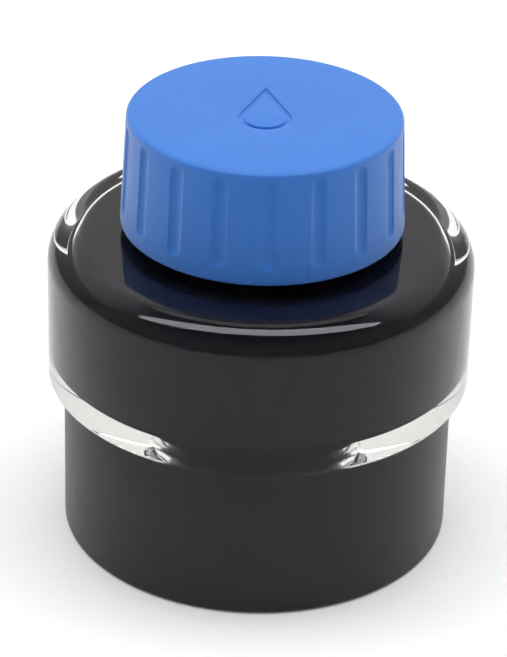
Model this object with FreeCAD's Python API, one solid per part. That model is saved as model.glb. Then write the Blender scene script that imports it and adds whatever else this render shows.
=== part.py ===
"""A screw-capped ink bottle: a wide glass bottle whose narrow well stands in a round plastic base.

Millimetres, +Z up. The origin is the centre of the base's foot, on the surface that the bottle stands on, and
-Y is the front. Each sub-part is written to parts/NODE.step.
"""
import FreeCAD
import Part
import math
import os

from FreeCAD import Vector

# Base: a round cup with a foot ring, a floor that the glass well rests on, and a socket round the well.
base_r = 25.25
base_top_z = 21.45
base_wall = 1.8
base_floor_z = 3.0
base_edge_round = 0.6
foot_ring_width = 3.0
foot_recess = 1.0
socket_wall = 1.4
socket_top_z = 18.5
socket_clearance = 0.08
rib_count = 6
rib_thickness = 1.2
rib_top_z = 20.4

# Label: a thin round sticker in the recess under the base.
label_r = 19.0
label_thickness = 0.15

# Glass bottle, outside.
glass_r = 27.35
glass_bottom_z = 21.6
glass_bottom_round = 0.7
shoulder_z = 42.15
shoulder_round = 4.4
well_r = 8.7
well_bottom_z = 3.0
well_bottom_round = 3.0
well_fillet = 0.3
neck_r = 14.85
neck_fillet = 0.8
lip_z = 55.5
lip_round = 0.6

# Glass bottle, inside: the chamber that holds the ink, the mouth, and the well below.
chamber_low_r = 24.0
chamber_top_r = 23.6
chamber_floor_z = 23.5
chamber_floor_round = 2.5
chamber_roof_z = 40.0
chamber_roof_round = 2.0
mouth_r = 12.2
mouth_fillet = 1.6
well_inner_r = 7.9
well_mouth_round = 0.6
well_inner_bottom_z = 6.4
well_inner_round = 4.0

# Ink: fills the chamber up into the bottom of the neck.
ink_level_z = 42.35

# Thread of the neck and cap: single start, right-handed, six turns to the inch.
thread_lead = 4.2333
neck_thread_r = 16.06
neck_thread_root_width = 2.0
neck_thread_crest_width = 0.9
neck_thread_start_z = 48.1
neck_thread_turns = 1.25
cap_thread_r = 15.15
cap_thread_root_width = 1.6
cap_thread_crest_width = 0.7
cap_thread_turns = 1.5
thread_embed = 0.3

# Cap: a drafted cup with a rounded top edge and shallow upright grip grooves. A groove has its full depth between
# its low and high heights, and a round end beyond each.
cap_bottom_z = 43.55
cap_top_z = 58.45
cap_bottom_r = 18.1
cap_top_r = 17.38
cap_top_round = 0.7
cap_bottom_round = 0.25
cap_bore_r = 16.3
cap_bore_round = 0.5
cap_top_wall = 1.45
groove_count = 18
groove_first_angle = -87
groove_cutter_r = 1.5
groove_depth = 0.4
groove_low_z = 46.6
groove_high_z = 56.5

# Ink-drop outline engraved in the middle of the cap's top.
drop_r = 3.4
drop_tip_y = 7.4
drop_centre_y = -1.6
drop_line_width = 0.8
drop_depth = 0.3

# Sealing disc between the cap and the lip.
liner_r = 15.9
liner_gap = 0.05


def corner_arc(before, corner, after, radius):
    """The arc that rounds a corner: its first point, its middle point and its last point."""
    to_before = (before - corner).normalize()
    to_after = (after - corner).normalize()
    half_angle = to_before.getAngle(to_after) / 2
    reach = radius / math.tan(half_angle)
    bisector = (to_before + to_after).normalize()
    centre = corner + bisector * (radius / math.sin(half_angle))
    middle = centre - bisector * radius
    return corner + to_before * reach, middle, corner + to_after * reach


def rounded_face(corners):
    """A flat face in the XZ plane from (x, z, rounding) corners, with an arc at each rounded corner."""
    points = [Vector(x, 0, z) for x, z, _ in corners]
    edges = []
    pen = None
    first = None
    count = len(points)
    for index in range(count + 1):
        here = index % count
        rounding = corners[here][2]
        if rounding > 0:
            start, middle, end = corner_arc(points[here - 1], points[here], points[(here + 1) % count], rounding)
        else:
            start = end = points[here]
        if pen is not None and (start - pen).Length > 1e-6:
            edges.append(Part.makeLine(pen, start))
        if index == count:
            break
        if rounding > 0:
            edges.append(Part.Arc(start, middle, end).toShape())
        first = first or start
        pen = end
    return Part.Face(Part.Wire(edges))


def revolved(corners):
    """The solid of revolution about Z of a rounded outline."""
    return rounded_face(corners).revolve(Vector(0, 0, 0), Vector(0, 0, 1), 360)


def thread_ridge(wall_r, crest_r, root_width, crest_width, start_z, turns):
    """One helical ridge that stands on a round wall at wall_r and reaches crest_r, inwards or outwards.

    Its flanks run straight on into the wall, so that the two solids overlap by thread_embed.
    """
    outwards = 1 if crest_r > wall_r else -1
    foot_r = wall_r - outwards * thread_embed
    flank_slope = (root_width - crest_width) / abs(crest_r - wall_r)
    foot_width = root_width + flank_slope * thread_embed
    section = Part.makePolygon([
        Vector(foot_r, 0, start_z - foot_width / 2),
        Vector(crest_r, 0, start_z - crest_width / 2),
        Vector(crest_r, 0, start_z + crest_width / 2),
        Vector(foot_r, 0, start_z + foot_width / 2),
        Vector(foot_r, 0, start_z - foot_width / 2),
    ])
    helix = Part.makeHelix(thread_lead, thread_lead * turns, wall_r)
    helix.translate(Vector(0, 0, start_z))
    return Part.Wire(helix).makePipeShell([section], True, True)


def make_base():
    """The base: outer wall, floor over a shallow recess, and a ribbed socket for the glass well."""
    inner_r = base_r - base_wall
    recess_r = base_r - foot_ring_width
    cup = revolved([
        (0, foot_recess, 0),
        (recess_r, foot_recess, 0),
        (recess_r, 0, 0),
        (base_r, 0, base_edge_round),
        (base_r, base_top_z, 0),
        (inner_r, base_top_z, 0),
        (inner_r, base_floor_z, 1.0),
        (0, base_floor_z, 0),
    ])
    bore_r = well_r + socket_clearance
    socket = revolved([
        (bore_r, base_floor_z - 0.5, 0),
        (bore_r + socket_wall, base_floor_z - 0.5, 0),
        (bore_r + socket_wall, socket_top_z, 0),
        (bore_r, socket_top_z, 0.5),
    ])
    pieces = [socket]
    rib_inner_r = bore_r + socket_wall / 2
    rib_length = inner_r + base_wall / 2 - rib_inner_r
    for index in range(rib_count):
        rib = Part.makeBox(rib_length, rib_thickness, rib_top_z - base_floor_z + 0.5)
        rib.translate(Vector(rib_inner_r, -rib_thickness / 2, base_floor_z - 0.5))
        rib.rotate(Vector(0, 0, 0), Vector(0, 0, 1), 360 * (index + 0.5) / rib_count)
        pieces.append(rib)
    return cup.fuse(pieces).removeSplitter()


def make_label():
    """The sticker in the recess under the base."""
    return Part.makeCylinder(label_r, label_thickness, Vector(0, 0, foot_recess - label_thickness))


def chamber_corners(top_z):
    """The glass's inside surface, from the well's bottom up to top_z in the neck."""
    return [
        (0, well_inner_bottom_z, 0),
        (well_inner_r, well_inner_bottom_z, well_inner_round),
        (well_inner_r, chamber_floor_z, well_mouth_round),
        (chamber_low_r, chamber_floor_z, chamber_floor_round),
        (chamber_top_r, chamber_roof_z, chamber_roof_round),
        (mouth_r, chamber_roof_z, mouth_fillet),
        (mouth_r, top_z, 0),
    ]


def make_glass():
    """The glass bottle with its neck thread, open at the mouth."""
    inside = chamber_corners(lip_z)
    inside[-1] = (mouth_r, lip_z, lip_round)
    body = revolved([
        (0, well_bottom_z, 0),
        (well_r, well_bottom_z, well_bottom_round),
        (well_r, glass_bottom_z, well_fillet),
        (glass_r, glass_bottom_z, glass_bottom_round),
        (glass_r, shoulder_z, shoulder_round),
        (neck_r, shoulder_z, neck_fillet),
        (neck_r, lip_z, lip_round),
    ] + inside[::-1])
    ridge = thread_ridge(neck_r, neck_thread_r, neck_thread_root_width, neck_thread_crest_width,
                         neck_thread_start_z, neck_thread_turns)
    return body.fuse(ridge)


def make_ink():
    """The ink, from the well's bottom to its level in the neck."""
    return revolved(chamber_corners(ink_level_z) + [(0, ink_level_z, 0)])


def wall_radius(z):
    """The cap's outside radius at a height, on its drafted wall."""
    share = (z - cap_bottom_z) / (cap_top_z - cap_bottom_z)
    return cap_bottom_r + (cap_top_r - cap_bottom_r) * share


def groove_cutter(angle):
    """A rod with round ends that follows the cap's drafted wall at one angle."""
    offset = groove_cutter_r - groove_depth
    low = Vector(wall_radius(groove_low_z) + offset, 0, groove_low_z)
    high = Vector(wall_radius(groove_high_z) + offset, 0, groove_high_z)
    rod = Part.makeCylinder(groove_cutter_r, (high - low).Length, low, high - low)
    cutter = rod.fuse([Part.makeSphere(groove_cutter_r, low), Part.makeSphere(groove_cutter_r, high)])
    cutter.rotate(Vector(0, 0, 0), Vector(0, 0, 1), angle)
    return cutter


def drop_face(radius, tip_y):
    """A flat ink drop on the cap's top plane: a round bottom whose tangents meet in a tip."""
    centre = Vector(0, drop_centre_y, cap_top_z)
    reach = tip_y - drop_centre_y
    lean = math.acos(radius / reach)
    right = centre + Vector(math.sin(lean), math.cos(lean), 0) * radius
    left = centre + Vector(-math.sin(lean), math.cos(lean), 0) * radius
    tip = Vector(0, tip_y, cap_top_z)
    bottom = centre - Vector(0, radius, 0)
    bowl = Part.Arc(right, bottom, left).toShape()
    return Part.Face(Part.Wire([bowl, Part.makeLine(left, tip), Part.makeLine(tip, right)]))


def drop_cutter():
    """The drop-shaped line that is engraved in the cap's top."""
    lean = math.acos(drop_r / (drop_tip_y - drop_centre_y))
    inner_tip_y = drop_tip_y - drop_line_width / math.cos(lean)
    outline = drop_face(drop_r, drop_tip_y).cut(drop_face(drop_r - drop_line_width, inner_tip_y))
    cutter = outline.extrude(Vector(0, 0, drop_depth * 2))
    cutter.translate(Vector(0, 0, -drop_depth))
    return cutter


def make_cap():
    """The screw cap: wall, top, internal thread, grip grooves and the engraved drop."""
    ceiling_z = cap_top_z - cap_top_wall
    cup = revolved([
        (cap_bore_r, cap_bottom_z, cap_bottom_round),
        (cap_bottom_r, cap_bottom_z, cap_bottom_round),
        (cap_top_r, cap_top_z, cap_top_round),
        (0, cap_top_z, 0),
        (0, ceiling_z, 0),
        (cap_bore_r, ceiling_z, cap_bore_round),
    ])
    ridge = thread_ridge(cap_bore_r, cap_thread_r, cap_thread_root_width, cap_thread_crest_width,
                         neck_thread_start_z - thread_lead / 2, cap_thread_turns)
    angles = [groove_first_angle + 360 * index / groove_count for index in range(groove_count)]
    cutters = [groove_cutter(angle) for angle in angles]
    return cup.cut(cutters + [drop_cutter()]).fuse(ridge)


def make_liner():
    """The sealing disc, which rests on the glass lip."""
    thickness = cap_top_z - cap_top_wall - liner_gap - lip_z
    return Part.makeCylinder(liner_r, thickness, Vector(0, 0, lip_z))


def main():
    """Builds each sub-part and writes its STEP file."""
    os.makedirs("parts", exist_ok=True)
    nodes = {
        "base_shell": make_base(),
        "base_label": make_label(),
        "glass_bottle": make_glass(),
        "ink_fill": make_ink(),
        "cap_liner": make_liner(),
        "cap_shell": make_cap(),
    }
    for name, shape in nodes.items():
        shape.exportStep(f"parts/{name}.step")
        print(f"{name}: {len(shape.Solids)} solid, {shape.Volume / 1000:.2f} ml, valid {shape.isValid()}")


main()
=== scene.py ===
"""Looks of the ink bottle: a glass bottle of blue-black ink in a black base, with a blue screw cap."""

import math

import bmesh
import bpy
import numpy as np
from mathutils import Matrix, Vector


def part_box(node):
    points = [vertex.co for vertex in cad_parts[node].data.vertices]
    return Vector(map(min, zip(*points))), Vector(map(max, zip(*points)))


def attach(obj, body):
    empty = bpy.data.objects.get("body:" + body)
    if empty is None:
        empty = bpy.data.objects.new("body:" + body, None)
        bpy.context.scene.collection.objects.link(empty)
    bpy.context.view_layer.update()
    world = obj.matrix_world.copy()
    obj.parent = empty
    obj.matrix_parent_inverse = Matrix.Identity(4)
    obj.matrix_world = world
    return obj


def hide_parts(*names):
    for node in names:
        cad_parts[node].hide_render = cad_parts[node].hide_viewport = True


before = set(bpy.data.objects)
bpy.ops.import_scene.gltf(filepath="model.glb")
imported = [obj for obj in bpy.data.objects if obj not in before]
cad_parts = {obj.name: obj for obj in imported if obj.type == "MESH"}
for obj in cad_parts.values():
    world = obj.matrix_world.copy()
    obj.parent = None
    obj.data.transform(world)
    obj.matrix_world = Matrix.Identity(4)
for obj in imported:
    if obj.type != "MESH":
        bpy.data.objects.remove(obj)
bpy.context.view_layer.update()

MM = 0.001
TURN = 2 * math.pi
ON_AXIS = 1e-9
SAME_R = 1e-6

# Outside sizes, from the frame.
GLASS_LOW, GLASS_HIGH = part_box("glass_bottle")
BASE_LOW, BASE_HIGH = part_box("base_shell")
CAP_LOW, CAP_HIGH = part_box("cap_shell")
INK_LOW, INK_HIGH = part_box("ink_fill")
LINER_LOW, LINER_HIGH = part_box("cap_liner")
LABEL_LOW, LABEL_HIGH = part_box("base_label")

# Fineness of the meshes.
BASE_ANGLES = 256
GLASS_ANGLES = 288
DISC_ANGLES = 192
GLASS_ARC_STEPS = 20
SHARP_EDGE = math.radians(32)

# Base: a cup on a foot ring, with a ribbed socket for the glass well.
BASE_R = BASE_HIGH[0]
BASE_TOP = BASE_HIGH[2]
BASE_WALL = 1.8 * MM
BASE_FLOOR = GLASS_LOW[2] - 0.02 * MM
BASE_FOOT_ROUND = 0.6 * MM
BASE_RIM_ROUND = 0.12 * MM
BASE_INSIDE_ROUND = 1.0 * MM
FOOT_RING = 3.0 * MM
FOOT_RING_ROUND = 0.2 * MM
FOOT_RECESS = 1.0 * MM
FOOT_RECESS_ROUND = 0.3 * MM
SOCKET_WALL = 1.4 * MM
SOCKET_TOP = 18.5 * MM
SOCKET_GAP = 0.08 * MM
SOCKET_FOOT_ROUND = 0.5 * MM
SOCKET_RIM_ROUND = 0.3 * MM
SOCKET_LEAD_IN = 0.5 * MM
RIB_COUNT = 6
RIB_THICKNESS = 1.2 * MM
RIB_TOP = 20.4 * MM
RIB_SINK = 0.5 * MM
RIB_BEVEL = 0.15 * MM

# Glass bottle, outside.
GLASS_R = GLASS_HIGH[0]
LIP = GLASS_HIGH[2]
LIP_ROUND = 0.6 * MM
GLASS_BOTTOM = 21.6 * MM
GLASS_BOTTOM_ROUND = 0.7 * MM
SHOULDER = 42.15 * MM
SHOULDER_ROUND = 4.4 * MM
NECK_R = 14.85 * MM
NECK_FILLET = 0.8 * MM
WELL_R = 8.7 * MM
WELL_FILLET = 0.3 * MM
WELL_BOTTOM = GLASS_LOW[2]
WELL_BOTTOM_ROUND = 3.0 * MM

# Glass bottle, inside: the well, the chamber and the mouth.
WELL_INNER_R = 7.9 * MM
WELL_INNER_ROUND = 4.0 * MM
WELL_MOUTH_ROUND = 0.6 * MM
WELL_FLOOR = INK_LOW[2]
CHAMBER_TOP_R = 23.6 * MM
CHAMBER_LOW_R = 24.0 * MM
CHAMBER_FLOOR = 23.5 * MM
CHAMBER_FLOOR_ROUND = 2.5 * MM
CHAMBER_ROOF = 40.0 * MM
CHAMBER_ROOF_ROUND = 2.0 * MM
MOUTH_R = 12.2 * MM
MOUTH_FILLET = 1.6 * MM
INK_LEVEL = INK_HIGH[2]
INK_OVERLAP = 0.02 * MM

# Screw thread of the neck and the cap. The cap's ridge runs half a lead below the neck's.
LEAD = 4.2333 * MM
THREAD_RUN_OUT = 0.05
NECK_THREAD_R = 16.06 * MM
NECK_THREAD_START = 48.1 * MM
NECK_THREAD_TURNS = 1.25
NECK_RIDGE_ROOT = 2.0 * MM
NECK_RIDGE_CREST = 0.9 * MM
NECK_STEP = 0.2 * MM
CAP_THREAD_R = 15.15 * MM
CAP_THREAD_START = NECK_THREAD_START - LEAD / 2
CAP_THREAD_TURNS = 1.5
CAP_RIDGE_ROOT = 1.6 * MM
CAP_RIDGE_CREST = 0.7 * MM
CAP_STEP = 0.15 * MM

# Cap: a drafted shell with round-ended grip grooves.
CAP_R = CAP_HIGH[0]
CAP_TOP_R = 17.38 * MM
CAP_BOTTOM = CAP_LOW[2]
CAP_TOP = CAP_HIGH[2]
CAP_TOP_ROUND = 0.7 * MM
CAP_BORE_R = 16.3 * MM
CAP_CEILING = CAP_TOP - 1.45 * MM
CAP_CEILING_ROUND = 0.5 * MM
CAP_RIM_ROUND = 0.25 * MM
CAP_ARC_STEPS = 8
CAP_TOP_RING = 12 * MM
GROOVE_COUNT = 18
GROOVE_FIRST = math.radians(-87)
GROOVE_LOW = 46.6 * MM
GROOVE_HIGH = 56.5 * MM
GROOVE_R = 1.5 * MM
GROOVE_DEPTH = 0.4 * MM
GROOVE_POINTS = (0.0, 0.28, 0.55, 0.8, 0.94, 1.04, 1.1, 1.2)
POINTS_BETWEEN_GROOVES = 7

# Ink drop engraved in the cap's top: a circle whose sides run up to a tip.
DROP_R = 3.4 * MM
DROP_TIP = 7.4 * MM
DROP_CENTRE = -1.6 * MM
DROP_LINE = 0.8 * MM
DROP_DEPTH = 0.3 * MM
DROP_EDGE = 0.1 * MM
DROP_FIELD_R = 10 * MM

# Round edges of the two flat discs.
LINER_ROUND = 0.15 * MM
LABEL_ROUND = 0.03 * MM

# Colours. A pair is the two ends of a material's slow variation.
CAP_BLUE = ((0.020, 0.161, 0.570), (0.024, 0.173, 0.600))
BASE_BLACK = ((0.0080, 0.0078, 0.0105), (0.0110, 0.0106, 0.0140))
DUST_GREY = (0.12, 0.12, 0.125)
INK_DYE = ((0.0058, 0.0046, 0.0076), (0.0076, 0.0060, 0.0098))
FOAM_WHITE = ((0.74, 0.74, 0.71), (0.80, 0.80, 0.78))
FILM_WHITE = ((0.76, 0.76, 0.74), (0.80, 0.80, 0.79))
TABLE_WHITE = ((0.86, 0.86, 0.865), (0.88, 0.88, 0.885))
GLASS_BODY = (0.975, 0.965, 0.93, 1)
GLASS_SHINE = (0.47, 0.4606, 0.4982, 1)
WHITE = (1, 1, 1, 1)

# Refractive indices.
GLASS_IOR = 1.52
INK_IOR = 1.333
CAP_IOR = 1.49
BASE_IOR = 1.48

# Surroundings, as (sine of the height angle, brightness), on the viewer's side and on the far side.
SKY_NEAR = ((0.0, 0.18), (1.0, 0.08), (0.40, 0.20), (0.58, 0.08))
SKY_FAR = (
    (0.0, 0.34), (1.0, 0.16), (0.38, 0.62), (0.46, 0.80),
    (0.56, 0.86), (0.66, 1.30), (0.80, 1.30), (0.90, 0.16),
)
SKY_TURN_LOW = -0.30
SKY_TURN_HIGH = 0.35

# Softboxes: places and sizes in metres, powers in watts.
STRIP_PLACE = (0, -0.18, 0.80)
STRIP_SIZE = (1.65, 0.30)
STRIP_POWER = 11.3
MAIN_PLACE = (0, -0.07, 0.80)
MAIN_SIZE = (1.3, 0.6)
MAIN_POWER = 8.2

# Table and camera.
TABLE_HALF = 1.6
TABLE_GAP = 0.01 * MM
TABLE_GLOW = 0.14
CAMERA_PLACE = (0, -0.351995, 0.226511)
CAMERA_PITCH = math.radians(29.4213)
CAMERA_ROLL = math.radians(1.6246)
CAMERA_SENSOR = 36
CAMERA_LENS = 170.89
CAMERA_SHIFT_X = -0.00887
CAMERA_SHIFT_Y = -0.00581
BOUNCES = 40


# ---------------------------------------------------------------- outlines and lathed meshes

def corner_arc(before, corner, after, radius, steps):
    """Points along the arc that rounds a corner of an outline."""
    to_before = (before - corner).normalized()
    to_after = (after - corner).normalized()
    half = to_before.angle(to_after) / 2
    reach = radius / math.tan(half)
    centre = corner + (to_before + to_after).normalized() * (radius / math.sin(half))
    start = corner + to_before * reach - centre
    end = corner + to_after * reach - centre
    sweep = start.angle(end)
    points = []
    for step in range(steps + 1):
        share = step / steps
        swung = (start * math.sin((1 - share) * sweep) + end * math.sin(share * sweep)) / math.sin(sweep)
        points.append(centre + swung)
    return points


def outline(corners, steps=10):
    """The (r, z) points of an open outline given as (r, z, rounding) corners."""
    points = [Vector(corner[:2]) for corner in corners]
    path = []
    for index, corner in enumerate(corners):
        if corner[2] > 0:
            path += corner_arc(points[index - 1], points[index], points[index + 1], corner[2], steps)
        else:
            path.append(points[index])
    return [(point.x, point.y) for point in path]


def divided(path, step, low, high):
    """The same outline with extra points wherever it runs between the heights low and high."""
    fine = [path[0]]
    for (r0, z0), (r1, z1) in zip(path, path[1:]):
        inside = low <= min(z0, z1) + step and max(z0, z1) - step <= high
        count = max(1, round(abs(z1 - z0) / step)) if inside else 1
        fine += [(r0 + (r1 - r0) * k / count, z0 + (z1 - z0) * k / count) for k in range(1, count + 1)]
    return fine


def even_angles(count):
    """Angles at even steps round the axis."""
    return np.arange(count) * (TURN / count)


def lathe(name, rings, angles):
    """A closed mesh round the Z axis. Each ring is (r, z), each a number or an array over the angles."""
    count = len(angles)
    vertices = []
    starts = []
    for r, z in rings:
        starts.append(len(vertices))
        if np.max(r) < ON_AXIS:
            vertices.append((0.0, 0.0, float(np.max(z))))
            continue
        radii = np.broadcast_to(r, count)
        heights = np.broadcast_to(z, count)
        vertices += list(zip(radii * np.cos(angles), radii * np.sin(angles), heights))
    sizes = np.diff(starts + [len(vertices)])
    faces = []
    for ring in range(len(rings) - 1):
        here, there = starts[ring], starts[ring + 1]
        for k in range(count):
            after = (k + 1) % count
            if sizes[ring] == 1:
                faces.append((here, there + after, there + k))
            elif sizes[ring + 1] == 1:
                faces.append((here + k, here + after, there))
            else:
                faces.append((here + k, here + after, there + after, there + k))
    mesh = bpy.data.meshes.new(name)
    mesh.from_pydata(vertices, [], faces)
    mesh.validate()
    return finished(name, mesh)


def finished(name, mesh):
    """A smooth-shaded object of a mesh, with its faces outwards and its real edges sharp."""
    piece = bpy.data.objects.new(name, mesh)
    bpy.context.scene.collection.objects.link(piece)
    turn_faces_out(mesh)
    mesh.shade_smooth()
    mesh.set_sharp_from_angle(angle=SHARP_EDGE)
    return piece


def turn_faces_out(mesh):
    """Turns every face of a closed mesh outwards."""
    bm = bmesh.new()
    bm.from_mesh(mesh)
    bmesh.ops.recalc_face_normals(bm, faces=bm.faces)
    bm.to_mesh(mesh)
    bm.free()


def placed(piece, body, node, material):
    """Rides a piece on its body in place of a CAD node and its material."""
    piece.data.materials.append(material)
    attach(piece, body)
    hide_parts(node)
    return piece


def thread_height(angles, z, start, turns, root_width, crest_width, height):
    """How far a helical ridge stands out of its wall at the height z, for each angle."""
    reach = np.zeros(len(angles))
    z = np.broadcast_to(z, len(angles))
    for lap in range(math.ceil(turns)):
        travelled = angles / TURN + lap
        run_out = np.clip(np.minimum(travelled, turns - travelled) / THREAD_RUN_OUT, 0, 1)
        off_centre = np.abs(z - start - LEAD * travelled)
        flank = (root_width / 2 - off_centre) / (root_width / 2 - crest_width / 2)
        ridge = np.clip(flank, 0, 1)
        reach = np.maximum(reach, height * run_out * ridge * ridge * (3 - 2 * ridge))
    return reach


# ---------------------------------------------------------------- base

def make_base():
    """The moulded cup, its foot ring and its socket."""
    inner = BASE_R - BASE_WALL
    bore = WELL_R + SOCKET_GAP
    path = outline([
        (0, FOOT_RECESS, 0),
        (BASE_R - FOOT_RING, FOOT_RECESS, FOOT_RECESS_ROUND),
        (BASE_R - FOOT_RING, 0, FOOT_RING_ROUND),
        (BASE_R, 0, BASE_FOOT_ROUND),
        (BASE_R, BASE_TOP, BASE_RIM_ROUND),
        (inner, BASE_TOP, BASE_RIM_ROUND),
        (inner, BASE_FLOOR, BASE_INSIDE_ROUND),
        (bore + SOCKET_WALL, BASE_FLOOR, SOCKET_FOOT_ROUND),
        (bore + SOCKET_WALL, SOCKET_TOP, SOCKET_RIM_ROUND),
        (bore, SOCKET_TOP, SOCKET_LEAD_IN),
        (bore, BASE_FLOOR, SOCKET_FOOT_ROUND),
        (0, BASE_FLOOR, 0),
    ])
    return lathe("base_moulding", path, even_angles(BASE_ANGLES))


def make_ribs():
    """The upright webs between the base's wall and its socket, each a box that runs a little into both."""
    inner = WELL_R + SOCKET_GAP + SOCKET_WALL / 2
    outer = BASE_R - BASE_WALL / 2
    low = BASE_FLOOR - RIB_SINK
    bm = bmesh.new()
    for index in range(RIB_COUNT):
        size = Matrix.Diagonal((outer - inner, RIB_THICKNESS, RIB_TOP - low, 1))
        place = Matrix.Translation(((inner + outer) / 2, 0, (low + RIB_TOP) / 2))
        turn = Matrix.Rotation(TURN * (index + 0.5) / RIB_COUNT, 4, "Z")
        bmesh.ops.create_cube(bm, size=1, matrix=turn @ place @ size)
    bmesh.ops.bevel(bm, geom=bm.edges[:], offset=RIB_BEVEL, segments=2, affect="EDGES")
    mesh = bpy.data.meshes.new("base_ribs")
    bm.to_mesh(mesh)
    bm.free()
    return finished("base_ribs", mesh)


def make_disc(name, low, high, rounding, steps):
    """A flat round disc with rounded edges that fills a CAD node's box."""
    path = outline([
        (0, low[2], 0),
        (high[0], low[2], rounding),
        (high[0], high[2], rounding),
        (0, high[2], 0),
    ], steps)
    return lathe(name, path, even_angles(DISC_ANGLES))


# ---------------------------------------------------------------- glass and ink

def chamber_path(grow):
    """The glass's inside outline, from the well's bottom up to the neck, moved outwards by grow."""
    return outline([
        (0, WELL_FLOOR - grow, 0),
        (WELL_INNER_R + grow, WELL_FLOOR - grow, WELL_INNER_ROUND),
        (WELL_INNER_R + grow, CHAMBER_FLOOR - grow, WELL_MOUTH_ROUND),
        (CHAMBER_LOW_R + grow, CHAMBER_FLOOR - grow, CHAMBER_FLOOR_ROUND),
        (CHAMBER_TOP_R + grow, CHAMBER_ROOF + grow, CHAMBER_ROOF_ROUND),
        (MOUTH_R + grow, CHAMBER_ROOF + grow, MOUTH_FILLET),
        (MOUTH_R + grow, INK_LEVEL, 0),
    ], GLASS_ARC_STEPS)


def make_glass():
    """The bottle: its outside with the threaded neck, then over the lip and down the inside."""
    outside = outline([
        (0, WELL_BOTTOM, 0),
        (WELL_R, WELL_BOTTOM, WELL_BOTTOM_ROUND),
        (WELL_R, GLASS_BOTTOM, WELL_FILLET),
        (GLASS_R, GLASS_BOTTOM, GLASS_BOTTOM_ROUND),
        (GLASS_R, SHOULDER, SHOULDER_ROUND),
        (NECK_R, SHOULDER, NECK_FILLET),
        (NECK_R, LIP, LIP_ROUND),
        (MOUTH_R, LIP, LIP_ROUND),
        (MOUTH_R, INK_LEVEL, 0),
    ], GLASS_ARC_STEPS)[:-1]
    angles = even_angles(GLASS_ANGLES)
    rings = []
    for r, z in divided(outside, NECK_STEP, SHOULDER, LIP):
        if abs(r - NECK_R) < SAME_R:
            r = r + thread_height(angles, z, NECK_THREAD_START, NECK_THREAD_TURNS, NECK_RIDGE_ROOT,
                                  NECK_RIDGE_CREST, NECK_THREAD_R - NECK_R)
        rings.append((r, z))
    return lathe("glass_body", rings + chamber_path(0)[::-1], angles)


def make_ink():
    """The ink, which runs a hair into the glass so that no air gap shows."""
    path = chamber_path(INK_OVERLAP) + [(0, INK_LEVEL)]
    return lathe("ink_body", path, even_angles(GLASS_ANGLES))


# ---------------------------------------------------------------- cap

def grooved(angles, r, z):
    """The cap's radius at one height once its grip grooves are cut, for each angle."""
    wall = CAP_R + (CAP_TOP_R - CAP_R) * (z - CAP_BOTTOM) / (CAP_TOP - CAP_BOTTOM)
    pitch = TURN / GROOVE_COUNT
    off = (angles - GROOVE_FIRST + pitch / 2) % pitch - pitch / 2
    across = np.abs(off) * wall
    along = max(0.0, GROOVE_LOW - z, z - GROOVE_HIGH)
    inside = np.clip(GROOVE_R ** 2 - across ** 2 - along ** 2, 0, None)
    sink = np.clip(np.sqrt(inside) - (GROOVE_R - GROOVE_DEPTH), 0, None)
    return np.minimum(r, wall - sink)


def cap_angles():
    """Angles round the cap, close together in each grip groove and wider between them."""
    half = np.array(GROOVE_POINTS)
    in_groove = np.concatenate([-half[:0:-1], half]) * MM / CAP_R
    pitch = TURN / GROOVE_COUNT
    between = np.linspace(in_groove[-1], pitch + in_groove[0], POINTS_BETWEEN_GROOVES + 2)[1:-1]
    sector = np.concatenate([in_groove, between])
    return np.concatenate([GROOVE_FIRST + pitch * k + sector for k in range(GROOVE_COUNT)])


def drop_radius(angles, shrink):
    """The polar radius of the ink-drop outline, moved inwards by shrink, for each angle."""
    radius = DROP_R - shrink
    lean = math.acos(DROP_R / (DROP_TIP - DROP_CENTRE))
    tip = DROP_TIP - shrink / math.cos(lean)
    x, y = np.cos(angles), np.sin(angles)
    across = DROP_CENTRE * y
    on_circle = across + np.sqrt(across ** 2 - DROP_CENTRE ** 2 + radius ** 2)
    to_side = tip * math.cos(lean) / np.clip(np.abs(x) * math.sin(lean) + y * math.cos(lean), 1e-6, None)
    side_ends = DROP_CENTRE + radius * math.cos(lean)
    on_side = to_side * y > side_ends
    return np.where(on_side & (to_side > 0), np.minimum(to_side, tip), on_circle)


def drop_rings(angles):
    """The rings of the cap's top, from the flat field inwards over the drop's engraved line."""
    rings = []
    for share in (0.75, 0.5, 0.25):
        rings.append((drop_radius(angles, 0) * (1 - share) + DROP_FIELD_R * share, CAP_TOP))
    flank = ((-1, 0), (0, 0.3 * DROP_EDGE), (0.3, DROP_EDGE), (0.6, DROP_DEPTH))
    for shift, sink in flank:
        rings.append((drop_radius(angles, shift * DROP_EDGE), CAP_TOP - sink))
    for shift, sink in flank[::-1]:
        rings.append((drop_radius(angles, DROP_LINE - shift * DROP_EDGE), CAP_TOP - sink))
    rings.append((0, CAP_TOP))
    return rings


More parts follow.
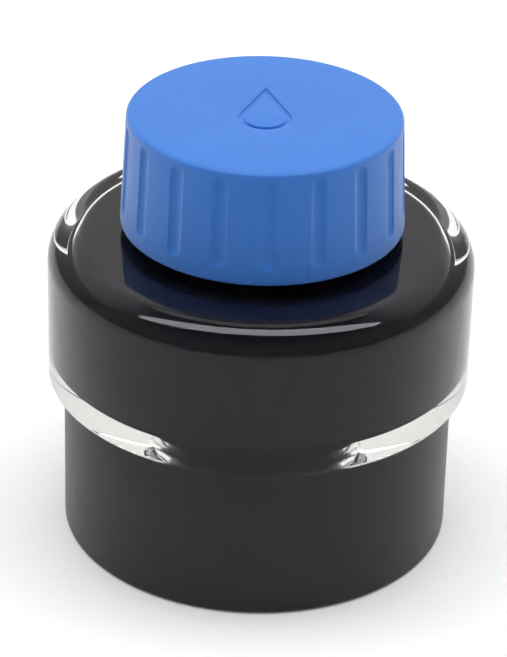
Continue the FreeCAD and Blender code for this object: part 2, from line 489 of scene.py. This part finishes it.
def make_cap():
    """The cap: its threaded inside, its grooved wall and its engraved top."""
    angles = cap_angles()
    shell = outline([
        (0, CAP_CEILING, 0),
        (CAP_BORE_R, CAP_CEILING, CAP_CEILING_ROUND),
        (CAP_BORE_R, CAP_BOTTOM, CAP_RIM_ROUND),
        (CAP_R, CAP_BOTTOM, CAP_RIM_ROUND),
        (CAP_TOP_R, CAP_TOP, CAP_TOP_ROUND),
        (CAP_TOP_RING, CAP_TOP, 0),
    ], CAP_ARC_STEPS)
    rings = []
    for r, z in divided(shell, CAP_STEP, CAP_BOTTOM, CAP_TOP):
        by_grooves = GROOVE_LOW - GROOVE_R <= z <= GROOVE_HIGH + GROOVE_R
        if abs(r - CAP_BORE_R) < SAME_R:
            r = r - thread_height(angles, z, CAP_THREAD_START, CAP_THREAD_TURNS, CAP_RIDGE_ROOT,
                                  CAP_RIDGE_CREST, CAP_BORE_R - CAP_THREAD_R)
        elif r > CAP_BORE_R + CAP_CEILING_ROUND and by_grooves:
            r = grooved(angles, r, z)
        rings.append((r, z))
    return lathe("cap_body", rings + drop_rings(angles), angles)


# ---------------------------------------------------------------- materials

class Nodes:
    """A material's node tree, with short calls to add and join its nodes."""

    def __init__(self, name):
        self.material = bpy.data.materials.new(name)
        self.material.use_nodes = True
        self.tree = self.material.node_tree
        self.tree.nodes.clear()
        self.out = self.add("ShaderNodeOutputMaterial")
        self.place = self.add("ShaderNodeTexCoord").outputs["Object"]

    def add(self, kind, **values):
        """Adds a node. Names that are inputs set the input, and other names set the node's own settings."""
        node = self.tree.nodes.new(kind)
        for name, value in values.items():
            key = name.replace("_", " ")
            if key in node.inputs:
                if isinstance(value, bpy.types.NodeSocket):
                    self.tree.links.new(value, node.inputs[key])
                else:
                    node.inputs[key].default_value = value
            else:
                setattr(node, name, value)
        return node

    def noise(self, scale, detail=2.0, roughness=0.5):
        """Noise in metres: scale is the number of features in a millimetre."""
        node = self.add("ShaderNodeTexNoise", Vector=self.place, Scale=scale / MM, Detail=detail,
                        Roughness=roughness)
        return node.outputs["Fac"]

    def ramp(self, value, low, high, low_to, high_to):
        """Maps a value from low..high to low_to..high_to, held at the ends."""
        node = self.add("ShaderNodeMapRange", Value=value, From_Min=low, From_Max=high, To_Min=low_to,
                        To_Max=high_to)
        return node.outputs["Result"]

    def blend(self, share, first, second):
        """Mixes two colours by a share from 0 to 1."""
        node = self.add("ShaderNodeMix", data_type="RGBA")
        self.tree.links.new(share, node.inputs[0])
        for socket, colour in ((node.inputs[6], first), (node.inputs[7], second)):
            if isinstance(colour, bpy.types.NodeSocket):
                self.tree.links.new(colour, socket)
            else:
                socket.default_value = (*colour, 1)
        return node.outputs[2]

    def clouds(self, colours, scale, detail, low=0.3, high=0.7):
        """A colour that drifts between the two of a pair, with scale features in a millimetre."""
        return self.blend(self.ramp(self.noise(scale, detail), low, high, 0, 1), *colours)

    def bump(self, height, strength, distance):
        """A normal from a height. distance is the relief's depth in metres."""
        node = self.add("ShaderNodeBump", Height=height, Strength=strength, Distance=distance)
        return node.outputs["Normal"]

    def principled(self, **values):
        """Ends the tree with a Principled shader and gives the material."""
        return self.surface(self.add("ShaderNodeBsdfPrincipled", **values).outputs["BSDF"])

    def surface(self, shader):
        """Ends the tree with a shader and gives the material."""
        self.tree.links.new(shader, self.out.inputs["Surface"])
        return self.material


def cap_material():
    """Satin blue moulded polypropylene."""
    n = Nodes("cap_polypropylene")
    colour = n.clouds(CAP_BLUE, 0.09, 3)
    rough = n.ramp(n.noise(1.2, 4), 0.3, 0.7, 0.50, 0.60)
    grain = n.bump(n.noise(7, 3, 0.6), 0.25, 0.02 * MM)
    return n.principled(
        Base_Color=colour, Roughness=rough, IOR=CAP_IOR, Normal=grain, Specular_IOR_Level=0.3,
        Subsurface_Weight=0.08, Subsurface_Radius=(0.4 * MM, 0.6 * MM, 1.2 * MM), Subsurface_Scale=1.0,
        Sheen_Weight=0.36, Sheen_Roughness=0.5, Sheen_Tint=WHITE)


def base_material():
    """Fine matte black moulded plastic with a few specks of dust."""
    n = Nodes("base_black_plastic")
    colour = n.clouds(BASE_BLACK, 0.12, 4)
    specks = n.ramp(n.noise(2.6, 1), 0.80, 0.84, 0, 0.35)
    dusty = n.blend(specks, colour, DUST_GREY)
    rough = n.ramp(n.noise(1.5, 3), 0.3, 0.7, 0.36, 0.46)
    grain = n.bump(n.noise(9, 3, 0.6), 0.3, 0.02 * MM)
    return n.principled(
        Base_Color=dusty, Roughness=rough, IOR=BASE_IOR, Normal=grain, Specular_IOR_Level=0.3,
        Sheen_Weight=0.08, Sheen_Roughness=0.4)


def glass_material():
    """Thick clear pressed glass, very slightly wavy."""
    n = Nodes("clear_glass")
    waves = n.bump(n.noise(0.05, 1), 0.12, 0.25 * MM)
    return n.principled(
        Base_Color=GLASS_BODY, Roughness=0.0, IOR=GLASS_IOR, Specular_Tint=GLASS_SHINE,
        Transmission_Weight=1.0, Normal=waves)


def ink_material():
    """Dense blue-black ink. It throws back little light where it wets glass, and more from its bare top."""
    n = Nodes("blue_black_ink")
    dye = n.add("ShaderNodeBsdfDiffuse", Color=n.clouds(INK_DYE, 0.05, 2)).outputs["BSDF"]
    shine = n.add("ShaderNodeBsdfGlossy", Color=WHITE, Roughness=0.0).outputs["BSDF"]
    height = n.add("ShaderNodeSeparateXYZ", Vector=n.place).outputs["Z"]
    index = n.ramp(height, INK_LEVEL - 0.03 * MM, INK_LEVEL - 0.01 * MM, INK_IOR / GLASS_IOR, INK_IOR)
    share = n.add("ShaderNodeFresnel", IOR=index).outputs["Fac"]
    mix = n.add("ShaderNodeMixShader")
    for socket, source in zip(mix.inputs, (share, dye, shine)):
        n.tree.links.new(source, socket)
    return n.surface(mix.outputs[0])


def liner_material():
    """White foam with a smooth skin."""
    n = Nodes("liner_foam")
    cells = n.bump(n.noise(4, 3), 0.3, 0.05 * MM)
    return n.principled(Base_Color=n.clouds(FOAM_WHITE, 1.5, 4, 0.35, 0.65), Roughness=0.55, Normal=cells)


def label_material():
    """Blank satin white film."""
    n = Nodes("label_film")
    tooth = n.bump(n.noise(5, 2), 0.15, 0.02 * MM)
    return n.principled(Base_Color=n.clouds(FILM_WHITE, 0.4, 3, 0.35, 0.65), Roughness=0.42, Normal=tooth)


def table_material():
    """A white lit table."""
    n = Nodes("white_table")
    return n.principled(
        Base_Color=n.clouds(TABLE_WHITE, 0.02, 2), Roughness=0.9, Specular_IOR_Level=0.0,
        Emission_Color=WHITE, Emission_Strength=TABLE_GLOW)


# ---------------------------------------------------------------- stage

def make_table():
    """The floor: one large flat sheet just under the base."""
    z = BASE_LOW[2] - TABLE_GAP
    corners = [(x * TABLE_HALF, y * TABLE_HALF, z) for x, y in ((-1, -1), (1, -1), (1, 1), (-1, 1))]
    mesh = bpy.data.meshes.new("table")
    mesh.from_pydata(corners, [], [(0, 1, 2, 3)])
    table = bpy.data.objects.new("table", mesh)
    bpy.context.scene.collection.objects.link(table)
    table.data.materials.append(table_material())


def overhead_light(name, place, size, power):
    """An oval softbox at a place, facing straight down."""
    light = bpy.data.lights.new(name, "AREA")
    light.shape = "ELLIPSE"
    light.size, light.size_y = size
    light.energy = power
    lamp = bpy.data.objects.new(name, light)
    lamp.location = place
    lamp.rotation_euler = Vector((0, 0, -1)).to_track_quat("-Z", "Y").to_euler()
    bpy.context.scene.collection.objects.link(lamp)
    return lamp


def sky_levels(tree, height, stops):
    """The brightness of the surroundings over the height, from its stops."""
    ramp = tree.nodes.new("ShaderNodeValToRGB")
    tree.links.new(height, ramp.inputs["Fac"])
    elements = ramp.color_ramp.elements
    for index, (place, level) in enumerate(stops):
        stop = elements[index] if index < 2 else elements.new(place)
        stop.position = place
        stop.color = (level, level, level, 1)
    return ramp.outputs["Color"]


def make_surroundings():
    """Surroundings that are dim behind the viewer and low down, and bright above the bottle's far side."""
    world = bpy.data.worlds.new("studio")
    bpy.context.scene.world = world
    world.use_nodes = True
    tree = world.node_tree
    direction = tree.nodes.new("ShaderNodeSeparateXYZ")
    tree.links.new(tree.nodes.new("ShaderNodeTexCoord").outputs["Generated"], direction.inputs[0])
    turn = tree.nodes.new("ShaderNodeMapRange")
    turn.interpolation_type = "SMOOTHSTEP"
    turn.inputs["From Min"].default_value = SKY_TURN_LOW
    turn.inputs["From Max"].default_value = SKY_TURN_HIGH
    tree.links.new(direction.outputs["Y"], turn.inputs["Value"])
    strength = tree.nodes.new("ShaderNodeMix")
    strength.data_type = "RGBA"
    tree.links.new(turn.outputs["Result"], strength.inputs[0])
    tree.links.new(sky_levels(tree, direction.outputs["Z"], SKY_NEAR), strength.inputs[6])
    tree.links.new(sky_levels(tree, direction.outputs["Z"], SKY_FAR), strength.inputs[7])
    background = tree.nodes["Background"]
    tree.links.new(strength.outputs[2], background.inputs["Color"])
    background.inputs["Strength"].default_value = 1.0


def make_lights():
    """A strip that shows only in reflections, and a main softbox that lights the matte surfaces."""
    make_surroundings()
    strip = overhead_light("strip_light", STRIP_PLACE, STRIP_SIZE, STRIP_POWER)
    strip.visible_diffuse = False
    main = overhead_light("main_softbox", MAIN_PLACE, MAIN_SIZE, MAIN_POWER)
    main.visible_glossy = False
    main.visible_transmission = False


def make_camera():
    """The viewpoint: a long lens that looks down on the bottle from the front."""
    data = bpy.data.cameras.new("view")
    data.sensor_width = CAMERA_SENSOR
    data.lens = CAMERA_LENS
    data.shift_x = CAMERA_SHIFT_X
    data.shift_y = CAMERA_SHIFT_Y
    ahead = Vector((0, math.cos(CAMERA_PITCH), -math.sin(CAMERA_PITCH)))
    level = ahead.cross(Vector((0, 0, 1))).normalized()
    top = level.cross(ahead)
    right = level * math.cos(CAMERA_ROLL) + top * math.sin(CAMERA_ROLL)
    up = top * math.cos(CAMERA_ROLL) - level * math.sin(CAMERA_ROLL)
    turn = Matrix((right, up, -ahead)).transposed().to_4x4()
    camera = bpy.data.objects.new("view", data)
    camera.matrix_world = Matrix.Translation(CAMERA_PLACE) @ turn
    bpy.context.scene.collection.objects.link(camera)
    bpy.context.scene.camera = camera


def set_light_paths():
    """Plain view colours, and enough bounces for light to cross the glass and the ink's faces."""
    scene = bpy.context.scene
    scene.view_settings.view_transform = "Standard"
    scene.cycles.max_bounces = BOUNCES
    scene.cycles.glossy_bounces = BOUNCES
    scene.cycles.transmission_bounces = BOUNCES
    scene.cycles.denoising_input_passes = "RGB"


def make_pieces():
    """Every piece of the bottle, each on its body and in its CAD node's place."""
    base_plastic = base_material()
    placed(make_base(), "base", "base_shell", base_plastic)
    placed(make_ribs(), "base", "base_shell", base_plastic)
    label = make_disc("label_disc", LABEL_LOW, LABEL_HIGH, LABEL_ROUND, 2)
    placed(label, "base", "base_label", label_material())
    placed(make_glass(), "bottle", "glass_bottle", glass_material())
    placed(make_ink(), "bottle", "ink_fill", ink_material())
    liner = make_disc("liner_disc", LINER_LOW, LINER_HIGH, LINER_ROUND, 4)
    placed(liner, "cap_seal", "cap_liner", liner_material())
    placed(make_cap(), "cap", "cap_shell", cap_material())


make_camera()
make_table()
make_lights()
make_pieces()
set_light_paths()
